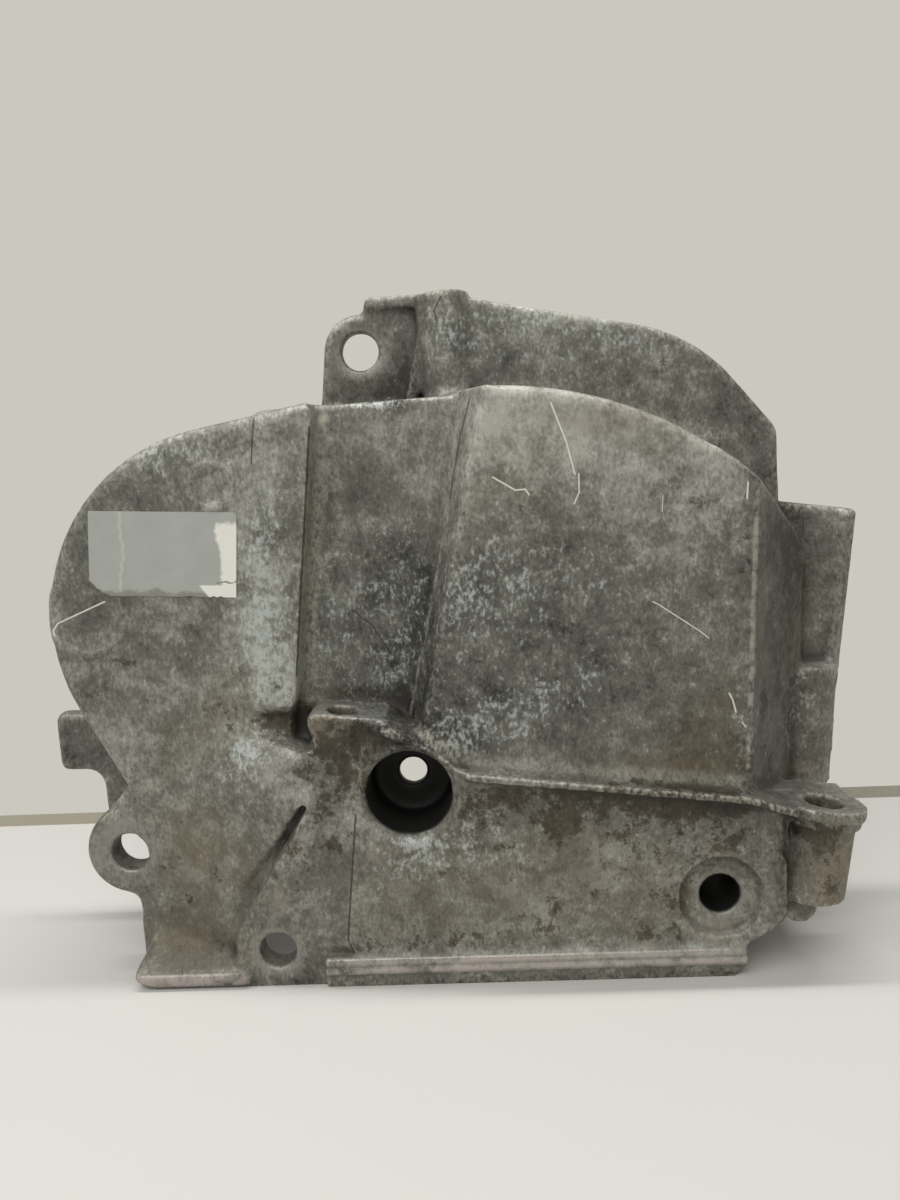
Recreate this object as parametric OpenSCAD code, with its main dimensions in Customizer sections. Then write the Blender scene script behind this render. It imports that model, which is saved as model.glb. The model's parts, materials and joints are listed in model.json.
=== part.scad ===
// Upper timing cover: one aluminium pressure die-casting with a stuck-on label.
// X runs across the cover and Z up from the foot. The sealing face looks to +Y, the outside to -Y.
// Every outline is drawn in the X-Z plane, and depths are measured forward from the sealing face.

/* [Overall] */
// Width from the locating tab to the wing's top corner
width = 203; // [200:0.5:208]
// Height from the foot to the top of the column
height = 157; // [156:0.5:160]
// Depth from the sealing face to the ledge's front edge
depth = 41; // [40:0.5:44]
// Casting wall
wall = 4; // [3:0.25:4.5]
// Lean of the strip, ledge and lugs against the foot, in degrees
lean = 7; // [5:0.5:9]

/* [Sprocket lobe] */
// Centre of the lobe across
lobe_x = -44; // [-46:0.5:-42]
// Centre of the lobe above the foot
lobe_z = 84; // [82:0.5:86]
// Radius of the lobe
lobe_r = 43.5; // [41:0.5:44.5]
// Depth of the lobe's face
lobe_v = 31; // [30:0.5:33]
// Slope of the lobe's top edge, in degrees
lobe_top = 10; // [8:0.5:12]
// Slope of the lobe's lower left edge, in degrees
lobe_low = 63; // [60:1:66]
// How far the strip stands proud of the lobe
strip_rise = 1.2; // [0.5:0.1:2]
// Width of the strip
strip_w = 13; // [10:0.5:15]
// Depth of the panel between strip and bulge
panel_v = 25; // [23:0.5:27]

/* [Tensioner bulge] */
// Depth of the bulge's face
bulge_v = 36; // [34:0.5:37]
// Radius of the bulge's top edge
bulge_r = 86; // [80:1:90]
// Right edge of the bulge's face
bulge_x = 69; // [67:0.5:71]
// Top of the bulge's face
bulge_z = 133; // [131:0.5:135]
// Slope of the bulge's right side, in degrees
bulge_side = 36; // [32:1:40]
// Slope of the bulge's left side, in degrees
bulge_step = 22; // [18:1:28]

/* [Hood and wing] */
// Depth of the hood's face
hood_v = 9; // [8:0.5:11]
// Right end of the hood
hood_x = 82; // [80:0.5:84]
// Rounding of the hood's shoulder
hood_r = 40; // [30:1:45]
// Depth of the wing
wing_v = 6; // [5:0.5:7]
// Top of the wing
wing_z = 102; // [99:0.5:103]
// Depth of the wall below the wing
side_v = 12; // [10:0.5:14]
// Top of the wall below the wing
side_z = 64.5; // [62:0.5:67]

/* [Top ear and column] */
// Top ear's bolt hole across
ear_x = -17; // [-18:0.5:-15]
// Top ear's bolt hole above the foot
ear_z = 144.5; // [143:0.5:146]
// Radius of the top ear
ear_r = 8.8; // [8:0.2:9.5]
// Thickness of the top ear
ear_v = 4.5; // [4:0.25:6]
// Column across, at its top
column_x = 3.3; // [2:0.1:5]
// Radius of the column
column_r = 6.4; // [5.5:0.1:7]

/* [Lower body and foot] */
// Depth of the lower body's face
body_v = 37; // [35:0.5:38]
// Right end of the lower body
body_x = 75.5; // [74:0.5:76.5]
// Height of the ledge where it leaves the well
ledge_z = 51; // [49:0.5:53]
// Thickness of the ledge's rib
ledge_t = 1.8; // [1.6:0.1:3.5]
// Drop of the ledge where it runs into the right lug
ledge_dip = 2.2; // [1.5:0.1:2.6]
// Left end of the foot
foot_x = -73; // [-75:0.5:-71]
// Depth of the foot's lip
foot_v = 39; // [38:0.25:40]
// Height of the foot's bead
foot_h = 8; // [7:0.5:9]

/* [Bolt holes and lugs] */
// Clearance hole for an 8 mm bolt
bolt_d = 9; // [8.4:0.1:9.5]
// Clearance hole in the foot
foot_bolt_d = 8.4; // [8:0.1:9]
// Clearance hole in the well, for a 6 mm bolt
well_bolt_d = 6.6; // [6:0.1:7]
// Radius of the well
well_r = 9.6; // [9:0.1:10.5]
// Depth of the well
well_depth = 16; // [12:0.5:18]
// Tapping hole in the left lug, for an 8 mm thread
thread_d = 6.8; // [6.5:0.1:7]
// Length of the tapping hole
thread_l = 18; // [14:1:20]
// Hole in the right lug
lug_bolt_d = 8.2; // [8:0.1:9]
// Radius of the right lug
lug_r = 9; // [8:0.25:10]
// Thickness of the right lug
lug_t = 4.4; // [3.5:0.1:5.5]
// Radius of the side ear
side_ear_r = 11; // [10:0.25:12]
// Thickness of the side ear
side_ear_t = 7; // [6:0.5:8]

/* [Label] */
// Width of the label
label_w = 32.8; // [28:0.2:34]
// Height of the label
label_h = 18.8; // [16:0.2:20]
// Thickness of the label's film
label_t = 0.2; // [0.1:0.05:0.4]
// Label's left edge from the lobe's centre
label_left = 31.6; // [30.6:0.2:32]
// Label's top edge above the lobe's centre
label_up = 26.3; // [25.3:0.2:26.7]

/* [Hidden] */
$fn = 64;
k_lean = tan(lean);
half_w = width / 2;

// Height of the leaning ledge's top at a place across
ledge_x = 3;
function ledge_top(x) = ledge_z - k_lean * (x - ledge_x);

// The ledge dips into the right lug, and climbs past the well to the land that carries the left lug
dip_x = 66;
ledge_foot = [-12, ledge_z + 11.2];
ledge_end = [-30, ledge_foot[1] + k_lean * 18];

// The panel on the lower body stands this far proud
pad_v = body_v + 0.8;

// Places of the bolt holes and lugs: across, above the foot, and forward for the leaning ones
well_at = [-8, 45];
bore_at = [60.7, 18.8];
foot_hole_at = [-40, 8.4];
side_ear_at = [-75.5, 29.5];
side_ear_v = 28;
thread_at = [-22.3, ledge_foot[1] + k_lean * (ledge_foot[0] + 22.3), body_v - 5.6];
lug_at = [84.4, ledge_top(84.4) - 2, depth - 7.5];

// Machining stock: each body starts its own step behind the faces that are milled flat
function stock(step) = -0.6 - 0.3 * step;

function unit(a) = a / norm(a);
function flat(c) = [c[0], c[1]];
function inward(a, b) = let (d = unit(b - a)) [-d[1], d[0]];

// Where the two edges at q meet once both have moved in by d
function moved(p, q, r, d) =
    let (n1 = inward(p, q), n2 = inward(q, r)) q + (n1 + n2) * d / (1 + n1 * n2);

// Points of the round at corner q, which lies between p and r
function round_corner(p, q, r, rad) =
    let (
        u = unit(p - q),
        w = unit(r - q),
        half = acos(u * w) / 2,
        middle = q + unit(u + w) * rad / sin(half),
        start = q + u * rad / tan(half) - middle,
        turn = (180 - 2 * half) * sign(cross(-u, w)),
        from = atan2(start[1], start[0]),
        n = ceil(abs(turn) * sqrt(rad) / 45) + 1
    )
    rad < 1 ? [q]
    : [for (i = [0 : n]) middle + rad * [cos(from + turn * i / n), sin(from + turn * i / n)]];

// Points of an outline, given counter-clockwise as corners of [across, up, radius], moved in by inset
function outline(c, inset = 0) =
    let (
        n = len(c),
        q = [for (i = [0 : n - 1])
            moved(flat(c[(i + n - 1) % n]), flat(c[i]), flat(c[(i + 1) % n]), inset)],
        bend = [for (i = [0 : n - 1])
            sign(cross(flat(c[i]) - flat(c[(i + n - 1) % n]), flat(c[(i + 1) % n]) - flat(c[i])))]
    )
    [for (i = [0 : n - 1])
        each round_corner(q[(i + n - 1) % n], q[i], q[(i + 1) % n], c[i][2] - bend[i] * inset)];

// Plain body of an outline between two depths
module prism(c, back, front, inset = 0)
    translate([0, 0, back]) linear_extrude(front - back) polygon(outline(c, inset));

// All that lies outside a sloping side, whose front edge starts at a place and runs at an angle
module outside(at, v, run, slope, inset)
    translate([at[0], at[1], v]) rotate(run) rotate([slope, 0, 0])
        translate([-width, -inset, -width]) cube(2 * width);

// Corner where the lobe's tangents at two angles meet
function lobe_corner(a, b) =
    [lobe_x, lobe_z] + lobe_r / cos((b - a) / 2) * [cos((a + b) / 2), sin((a + b) / 2)];

// The lobe's tangents: its top at a place across, and its lower left edge at a height
top_a = 90 + lobe_top;
low_a = 270 - lobe_low;
mid_a = (top_a + low_a) / 2;
function lobe_top_at(x) = lobe_z + (lobe_r - (x - lobe_x) * cos(top_a)) / sin(top_a);
function lobe_low_at(z) = lobe_x + (lobe_r - (z - lobe_z) * sin(low_a)) / cos(low_a);

// The strip leans: its right edge across, at a height
strip_top = 131;
strip_low = 64;
function strip_right(z) = -24.6 + k_lean * (z - strip_top);

lobe_low_z = 41;
lobe = [
    [strip_right(lobe_low_z) - 1, lobe_low_z, 0],
    [strip_right(strip_top) - 1, lobe_top_at(strip_right(strip_top)), 0],
    concat(lobe_corner(top_a, mid_a), [lobe_r]),
    concat(lobe_corner(mid_a, low_a), [lobe_r]),
    [lobe_low_at(lobe_low_z), lobe_low_z, 0],
];

strip = [
    [strip_right(strip_low) - strip_w, strip_low + 1.5, 2],
    [strip_right(strip_low), strip_low, 2],
    [strip_right(strip_top), strip_top, 2],
    [strip_right(strip_top) - strip_w, strip_top - 1.8, 2],
];

panel = [
    [strip_right(lobe_low_z) - 14, lobe_low_z - 2, 0],
    [12, lobe_low_z - 2, 0],
    [18, bulge_z - 0.8, 0],
    [strip_right(strip_top) - 14, strip_top - 0.4, 0],
];

// Bulge: its plan is drawn at its foot, and both sides slope back to its face
bulge_end_a = 48;
bulge_mid_a = (90 + bulge_end_a) / 2;
bulge_half = (90 - bulge_end_a) / 2;
bulge_mid = [12, bulge_z - bulge_r];
bulge_low_z = 27;
bulge_left = [11.5, bulge_z];
bulge_right = [bulge_x, bulge_z - 23];
bulge_left_run = 78;
bulge_right_run = 268.5;
bulge_foot_x = bulge_x + 19;
bulge_foot_z = bulge_mid[1]
    + (bulge_r - (bulge_foot_x - bulge_mid[0]) * cos(bulge_end_a)) / sin(bulge_end_a);
bulge = [
    [-26, bulge_low_z, 0],
    [bulge_foot_x, bulge_low_z, 0],
    [bulge_foot_x, bulge_foot_z, 14],
    concat(bulge_mid + bulge_r / cos(bulge_half) * [cos(bulge_mid_a), sin(bulge_mid_a)], [bulge_r]),
    [-4, bulge_z, 0],
];

module bulge_form(back, inset) difference() {
    prism(bulge, back, bulge_v - inset, inset);
    outside(bulge_left, bulge_v, bulge_left_run, bulge_step, inset);
    outside(bulge_right, bulge_v, bulge_right_run, bulge_side, inset);
}

hood = [
    [-2, 120, 0],
    [hood_x + 0.3, wing_z - 2, 0],
    [hood_x - 0.5, 121.8, 3],
    [62, 144.6, hood_r],
    [column_x + 2, height - 1, 0],
];

wing = [
    [78, side_z - 4, 0],
    [half_w - 3.5, side_z - 2.5, 0],
    [half_w, wing_z - 0.4, 0],
    [78, wing_z + 3, 0],
];

// Raised rim along the wing's free edge
wing_rim = [
    [half_w - 7.2, side_z - 3, 0],
    [half_w - 3.8, side_z - 3, 0],
    [half_w - 0.3, wing_z - 0.8, 0],
    [half_w - 3.4, wing_z - 0.5, 0],
];

side_wall = [
    [70, 30.5, 0],
    [half_w - 6.4, 33, 2],
    [half_w - 4.3, side_z, 2],
    [70, side_z - 0.5, 0],
];

// Half-round boss that climbs from the right lug to the wing
side_boss_r = 8;
module side_boss()
    translate([half_w - 4.2 - side_boss_r, side_z, side_v - side_boss_r + 1.5]) rotate([90, 0, -4])
        cylinder(r = side_boss_r, h = side_z - 33.5);

// Lower body: the foot, the right end, the ledge's line and the groove beside the gusset
groove_top = [-31, 42.6];
groove_low = [-50, 12.5];
notch = [body_x - 9.8, foot_h - 0.8];
body_low_z = 12.2;
body = [
    [-50, -1, 0],
    [notch[0] - 3.7, -1, 0],
    [notch[0], 3, 1],
    concat(notch, [1.5]),
    [body_x, body_low_z, 2],
    [body_x, ledge_top(body_x) - ledge_dip, 2],
    [dip_x, ledge_top(dip_x), 6],
    [ledge_x, ledge_top(ledge_x), 8],
    concat(ledge_foot, [7]),
    concat(ledge_end, [2]),
    concat(groove_top, [3]),
    concat(groove_low, [1.6]),
];

// The body's core stays open at the foot
body_core = [for (p = body) p[1] < 0 ? [p[0], -4 * wall, 0] : p];

// Panel on the lower body, from the step beside the foot hole to the right end
pad = [
    [-21.3, 4.6, 0],
    [notch[0] - 1, 4.6, 0],
    [notch[0] - 1, notch[1] + 0.6, 0],
    [body_x - 1.4, body_low_z + 0.6, 0],
    [body_x - 1.4, ledge_top(body_x) - 1.5 - ledge_dip, 0],
    [dip_x, ledge_top(dip_x) - 1.5, 0],
    [ledge_x + 0.5, ledge_top(ledge_x) - 1.5, 0],
    [ledge_foot[0] + 0.5, ledge_foot[1] - 1.5, 0],
    [-18.2, 56, 0],
    [-20.4, 38.3, 0],
    [-23.7, 10.8, 0],
];

// Raised pad to the right of the long bore
bore_pad = [
    [bore_at[0] + 3, bore_at[1] - 12.5, 0],
    [body_x - 3.2, bore_at[1] - 7.5, 0],
    [body_x - 0.6, bore_at[1] - 4, 0],
    [body_x - 0.6, bore_at[1] + 10, 4],
    [bore_at[0] + 4, bore_at[1] + 12.5, 0],
];

// Rib along the ledge
rib_end = body_x + 1;
ledge = [
    [ledge_x - 1, ledge_top(ledge_x) - ledge_t, 3],
    [dip_x, ledge_top(dip_x) - ledge_t, 4],
    [rib_end, ledge_top(rib_end) - ledge_dip - ledge_t, 0],
    [rib_end, ledge_top(rib_end) - ledge_dip - 0.2, 0],
    [dip_x, ledge_top(dip_x) - 0.2, 4],
    [ledge_x, ledge_top(ledge_x) - 0.2, 3],
    [ledge_foot[0] + 1, ledge_foot[1] - 0.2, 3],
    [ledge_foot[0] - 2, ledge_foot[1] - ledge_t, 0],
];

// Gusset below the lobe: corners of [across, up, depth], with its hip inside them
gusset_x = foot_x - 2;
gusset = [
    [gusset_x, -2, 27],
    [groove_low[0] + 5, -2, body_v - 3],
    [groove_low[0] + 5, groove_low[1] + 6, body_v - 3],
    [groove_top[0] + 0.5, groove_top[1], body_v - 0.2],
    [-29, 53.5, body_v - 0.4],
    [-41.6, 58.5, lobe_v + 1.5],
    [-71, 45, lobe_v - 1.5],
    [gusset_x, 24, 27.5],
];
gusset_hip = [-46, 48, 35];

module gusset_body() {
    n = len(gusset);
    back = [for (g = gusset) [g[0], g[1], stock(9)]];
    sides = [for (i = [0 : n - 1])
        let (a = i, b = (i + 1) % n)
        each [[a, a + n, b], [b, a + n, b + n]]];
    hips = [for (i = [0 : n - 1]) [2 * n, n + (i + 1) % n, n + i]];
    polyhedron(concat(back, gusset, [gusset_hip]), concat([[for (i = [0 : n - 1]) i]], sides, hips));
}

// Hollow of the gusset, which keeps clear of the side ear's bolt and runs into its neighbours
module gusset_core() {
    left = gusset_x + wall;
    past_ear = side_ear_at[0] + side_ear_r + wall - 1.5;
    translate([0, 0, stock(26)]) linear_extrude(24 - stock(26))
        polygon([[left, -4 * wall], [-40, -4 * wall], [-22, 38], [-34, 54], [past_ear, 47.5],
            [past_ear, 19], [left, 15]]);
}

// Lugs: across, down along the lean, and forward
module lug_frame(at) translate(at) rotate([0, 0, -lean]) rotate([90, 0, 0]) children();

module top_ear() {
    translate([0, 0, stock(10)]) linear_extrude(ear_v - stock(10)) {
        translate([ear_x, ear_z]) circle(ear_r);
        polygon([[ear_x - ear_r - 2, 127], [column_x, 127], [column_x, height - 1.2],
            [ear_x + 1.4, height - 1.2], [ear_x + 1.4, ear_z], [ear_x - ear_r + 0.1, ear_z + 1]]);
    }
    translate([ear_x + 1.8, height - 3, ear_v / 2]) cube([column_x - ear_x - 1.8, 2.8, ear_v / 2 + 2]);
}

// Column with its two ribs
column_tilt = 3;
module column() {
    low = 126;
    rib_w = 3;
    left = column_x - column_r;
    right = column_x + column_r;
    translate([column_x, height - column_r * sin(column_tilt), column_r - 0.8]) rotate([90, 0, column_tilt])
        cylinder(r = column_r, h = height - low);
    translate([0, 0, stock(11)]) linear_extrude(column_r + 4)
        polygon([[left + 1, 150], [left - 4, 130], [left - 4 + rib_w, 130], [left + 1 + rib_w, 150]]);
    translate([0, 0, stock(12)]) linear_extrude(column_r + 2)
        polygon([[right - rib_w, 145], [right - 0.3, 145], [right + 2.7, 130.5], [right - rib_w, 130.5]]);
}

module tab() {
    low = 42;
    high = 57.5;
    bevel = 2;
    prism([
        [-half_w, low, bevel],
        [-half_w + 11, low, 4],
        [side_ear_at[0] - side_ear_r - 4, low - 12, 0],
        [foot_x + 5, low - 12, 0],
        [foot_x + 5, high, 0],
        [-half_w, high, bevel],
    ], stock(13), ear_v + 0.2);
}

// A length of the foot, from its section of [up, forward]
module foot_lip(from, to, section)
    translate([from, 0, 0]) rotate([90, 0, 90]) linear_extrude(to - from) polygon(section);

bead_from = -29;
bead_to = notch[0] + 0.7;
foot_back = body_v - 8;
ridge_r = 1.15;
ridge_v = foot_v - ridge_r;
ridges = [foot_h / 2, foot_h / 2 + 2.1];
bead_section = [[-2.6, foot_back], [-2.6, foot_v - 0.6], [2.4, foot_v - 0.6], [3.4, ridge_v],
    [ridges[1], ridge_v], [ridges[1], foot_back]];

// Bead of the foot: two ridges over a flat band, which is cut back at the right end
module bead() {
    difference() {
        foot_lip(bead_from, bead_to, bead_section);
        translate([0, 0, foot_back - 1]) linear_extrude(2 * over)
            polygon([[bead_to - 4, -3], [bead_to + 1, -3], [bead_to + 1, 3.4], [bead_to - 0.2, 2.8],
                [bead_to - 3.4, -0.4]]);
    }
    for (up = ridges)
        translate([bead_from, up, ridge_v]) rotate([0, 90, 0])
            cylinder(r = ridge_r, h = bead_to - bead_from);
}

// Toe at the foot's left end, undercut at its corner
lip_to = -46.5;
toe_x = foot_x - 0.8;
lip_section = [[-3.2, 22], [-3.2, foot_v - 2.2], [0.6, foot_v - 1.2], [2, foot_v - 0.4],
    [3.4, foot_v - 0.4], [4.8, foot_v - 2.6], [7, foot_v - 6.5], [10.2, foot_v - 9.2], [10.2, 22]];
module toe() difference() {
    foot_lip(toe_x, lip_to, lip_section);
    translate([0, 0, foot_v - 11]) linear_extrude(2 * over)
        polygon([[toe_x - 1, -5], [toe_x + 3.6, -5], [toe_x + 3.4, 0.3], [toe_x + 1.2, 1.2],
            [toe_x - 0.1, 3], [toe_x - 1, 3]]);
    translate([0, 0, foot_v - 11]) linear_extrude(2 * over)
        polygon([[toe_x - 1, 4.4], [toe_x + 0.1, 4.4], [toe_x + 2, 7], [toe_x + 2, 12], [toe_x - 1, 12]]);
}

module outer() {
    prism(lobe, stock(0), lobe_v);
    prism(strip, panel_v - 2, lobe_v + strip_rise);
    prism(panel, stock(2), panel_v);
    bulge_form(stock(3), 0);
    prism(hood, stock(4), hood_v);
    prism(wing, stock(5), wing_v);
    prism(wing_rim, wing_v - 2, wing_v + 1.2);
    prism(side_wall, stock(6), side_v - 3);
    side_boss();
    prism(body, stock(7), body_v);
    prism(pad, body_v - 2, pad_v);
    prism(bore_pad, body_v - 3, pad_v + 1);
    prism(ledge, bulge_v - 6, depth);
    gusset_body();
    top_ear();
    column();
    tab();
}

module cores() {
    prism(lobe, stock(20), lobe_v - wall, wall);
    prism(panel, stock(21), panel_v - wall, wall);
    bulge_form(stock(22), wall);
    prism(hood, stock(23), hood_v - wall, wall);
    prism(side_wall, stock(24), side_v - 3 - wall, wall);
    prism(body_core, stock(25), body_v - wall, wall);
    gusset_core();
}

// Lug beside the ledge, on a column of its own
lug_column_r = lug_r - 1.8;
lug_column_l = 23;
module lug_plate(r, front) intersection() {
    union() {
        circle(r);
        translate([-r - 2, -r - 4]) square([2 * r + 1, r + 4]);
    }
    translate([-2 * r, -4 * r]) square([4 * r, 4 * r + front]);
}

module right_lug() lug_frame(lug_at) {
    linear_extrude(lug_t * 0.55) lug_plate(lug_r, depth - lug_at[2]);
    translate([0, 0, lug_t * 0.4]) linear_extrude(lug_t * 0.6)
        lug_plate(lug_r - 0.7, depth - lug_at[2] - 0.6);
    difference() {
        translate([0, 0, 1]) cylinder(r = lug_column_r, h = lug_column_l);
        translate([-lug_r, -lug_r, lug_column_l]) rotate([0, 6, 0]) cube(4 * lug_r);
    }
}

// Web that ties the lug's column to the body, with the ejector's round on its lower end
module right_web() {
    translate([0, 0, 10.5]) linear_extrude(17.3)
        polygon([[68, 14], [78.6, 11.4], [85, 13], [86.4, 36], [68, 37]]);
    translate([79.5, 13.9, 12]) cylinder(r = 3.8, h = 22);
}

// Bosses that stand in the hollow
module inner_bosses() {
    translate([well_at[0], well_at[1], pad_v - well_depth - 3])
        cylinder(r = well_r + wall - 0.5, h = well_depth + 3 - wall / 2);
    translate([bore_at[0], bore_at[1], stock(14)])
        cylinder(r = bolt_d / 2 + wall, h = body_v - 2 - stock(14));
    translate([foot_hole_at[0], foot_hole_at[1], body_v - 7])
        cylinder(r = foot_bolt_d / 2 + wall, h = 5);
    lug_frame(thread_at) translate([0, 0, 1]) cylinder(r = thread_d / 2 + 1.9, h = thread_l + 2);
}

// Side ear, with the web that carries it up to the lobe's edge
module side_ear() translate([side_ear_at[0], side_ear_at[1], side_ear_v - side_ear_t]) {
    cylinder(r = side_ear_r, h = side_ear_t);
    linear_extrude(side_ear_t - 0.7)
        polygon([[-side_ear_r + 0.8, 4], [side_ear_r, 4], [side_ear_r, 20], [1.2, 17.5], [-3, 12]]);
}

// A straight hole from one depth to another
module hole(at, d, from, to) translate([at[0], at[1], from]) cylinder(d = d, h = to - from);

over = 10;
spot = 0.3;
ring_r = 6.6;
well_lip = 1.6;
lug_hole_l = 18;

// Round marks of the ejector pins on the lobe's face: place, diameter and depth
ejector_marks = [
    [[lobe_x - 4, lobe_z + 30.5], 8.2, 0.6],
    [[lobe_x - 34.8, lobe_z + 2.8], 15.6, 0.4],
];

module holes() {
    hole([ear_x, ear_z], bolt_d, -over, ear_v + over);
    hole([ear_x, ear_z], 2 * ring_r, ear_v - spot, ear_v + over);
    hole(side_ear_at, bolt_d, -over, side_ear_v + over);
    hole(side_ear_at, 2 * side_ear_r - 4, -over, side_ear_v - side_ear_t);
    hole(bore_at, bolt_d, -over, body_v + over);
    hole(bore_at, 18.8, body_v - 0.7, body_v + over);
    hole(bore_at, 22, pad_v + 0.5, body_v + over);
    hole(foot_hole_at, foot_bolt_d, body_v - 12, body_v + over);
    hole(foot_hole_at, 2 * ring_r - 1, body_v - spot, body_v + over);
    hole(well_at, well_bolt_d, 8, body_v);
    hole(well_at, 2 * well_r, pad_v - well_depth, pad_v + over);
    translate([well_at[0], well_at[1], pad_v - well_lip])
        cylinder(r1 = well_r, r2 = well_r + over, h = over);
    lug_frame(thread_at) translate([0, 0, -over]) cylinder(d = thread_d, h = thread_l + over);
    lug_frame(lug_at) translate([0, 0, -over]) cylinder(d = lug_bolt_d, h = lug_hole_l + over);
    for (mark = ejector_marks)
        hole(mark[0], mark[1], lobe_v - mark[2], lobe_v + over);
}

// Valley between the strip's lower end, the gusset and the lower body
module strip_pocket() translate([0, 0, lobe_v - wall / 2]) linear_extrude(over)
    polygon([
        [strip_right(strip_low) - strip_w + 2, strip_low - 1],
        [strip_right(strip_low) - 5, strip_low - 6],
        [ledge_end[0] + 1.2, strip_low - 8.6],
        [ledge_end[0] + 1.6, strip_low - 6.8],
        [ledge_end[0] - 0.4, strip_low - 1.4],
    ]);

// Groove that widens down the gusset's right side
groove_v = 32.5;
groove_in = 0.35;
module groove() translate([0, 0, groove_v]) linear_extrude(over)
    polygon([
        groove_top + [groove_in, 0.2],
        groove_top + [-1.3, 0.45],
        groove_top + [-9.6, -11.6],
        groove_low + [-1.6, 5],
        groove_low + [-2.2, 0.3],
        groove_low + [groove_in, 0.1],
    ]);

// The sealing face and the foot are milled flat
module milled() {
    translate([-width, -height, -depth]) cube([2 * width, 3 * height, depth]);
    translate([-width, -height, -depth / 2]) cube([2 * width, height, 3 * depth]);
}

module cover_casting() color("darkgray") upright() difference() {
    union() {
        difference() {
            outer();
            cores();
        }
        inner_bosses();
        side_ear();
        right_lug();
        right_web();
        bead();
        toe();
    }
    holes();
    strip_pocket();
    groove();
    milled();
}

// The label's lower left corner is torn off
label_turn = -2.4;
label_at = [lobe_x - label_left, lobe_z + label_up, lobe_v];
tear = [4.6, 3.4];
module label() color("lightgray") upright()
    translate(label_at) rotate(label_turn) linear_extrude(label_t)
        polygon([[0, 0], [0, tear[1] - label_h], [tear[0] * 0.3, tear[1] * 0.5 - label_h],
            [tear[0] * 0.6, tear[1] * 0.35 - label_h], [tear[0], -label_h], [label_w, -label_h],
            [label_w, -1], [label_w - 1, 0]]);

// Stands the drawing up, with the sealing face to the back
module upright() translate([0, depth / 2, 0]) rotate([90, 0, 0]) children();

cover_casting();
label();
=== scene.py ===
import json
import math

import bmesh
import bpy
import numpy as np
from mathutils import Matrix, Vector
from mathutils.bvhtree import BVHTree


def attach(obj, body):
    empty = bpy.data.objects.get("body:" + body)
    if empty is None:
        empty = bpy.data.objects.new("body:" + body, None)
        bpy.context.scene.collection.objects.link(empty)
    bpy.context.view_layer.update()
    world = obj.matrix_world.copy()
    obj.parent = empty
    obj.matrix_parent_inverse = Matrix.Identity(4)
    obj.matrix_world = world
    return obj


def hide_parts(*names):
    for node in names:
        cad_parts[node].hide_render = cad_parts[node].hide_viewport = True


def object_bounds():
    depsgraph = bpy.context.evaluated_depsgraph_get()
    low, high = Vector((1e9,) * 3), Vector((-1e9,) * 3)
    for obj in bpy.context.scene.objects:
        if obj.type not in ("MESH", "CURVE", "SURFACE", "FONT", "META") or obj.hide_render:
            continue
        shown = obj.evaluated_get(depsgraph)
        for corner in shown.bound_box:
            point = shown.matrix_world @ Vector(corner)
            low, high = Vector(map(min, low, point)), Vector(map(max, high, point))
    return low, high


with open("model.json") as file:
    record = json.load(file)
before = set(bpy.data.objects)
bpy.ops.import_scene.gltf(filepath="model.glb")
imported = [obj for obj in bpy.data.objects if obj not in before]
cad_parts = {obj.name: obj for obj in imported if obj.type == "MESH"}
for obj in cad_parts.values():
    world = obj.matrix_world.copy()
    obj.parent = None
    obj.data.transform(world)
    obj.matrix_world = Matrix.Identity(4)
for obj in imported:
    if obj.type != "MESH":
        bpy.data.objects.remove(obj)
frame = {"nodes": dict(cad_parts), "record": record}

# The cover stands on its foot with its outside to -Y. Places on it are written in millimetres
# as (across, up) on the outside, and depths run forward from the sealing face, as in the CAD.
MM = 0.001
CAD_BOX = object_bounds()
SEALING_FACE = CAD_BOX[1].y / MM
FAR = 1000.0

# Casting skin: how near loose corners are joined (in metres), the voxels that it is rebuilt from,
# the passes that round its edges, and its final count
WELD = 1e-6
VOXEL = 0.55
ROUNDING_PASSES = 40
CASTING_TRIANGLES = 186000

# Main forms that the rounding follows. Ledge and strip lean by this slope.
LOBE_CENTRE = (-44.0, 84.0)
LOBE_RADIUS = 43.5
LOBE_FACE = 31.0
LEAN = 0.1228
LEDGE_START = (3.0, 51.0)
STRIP_TOP = (-24.6, 131.0)

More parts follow.
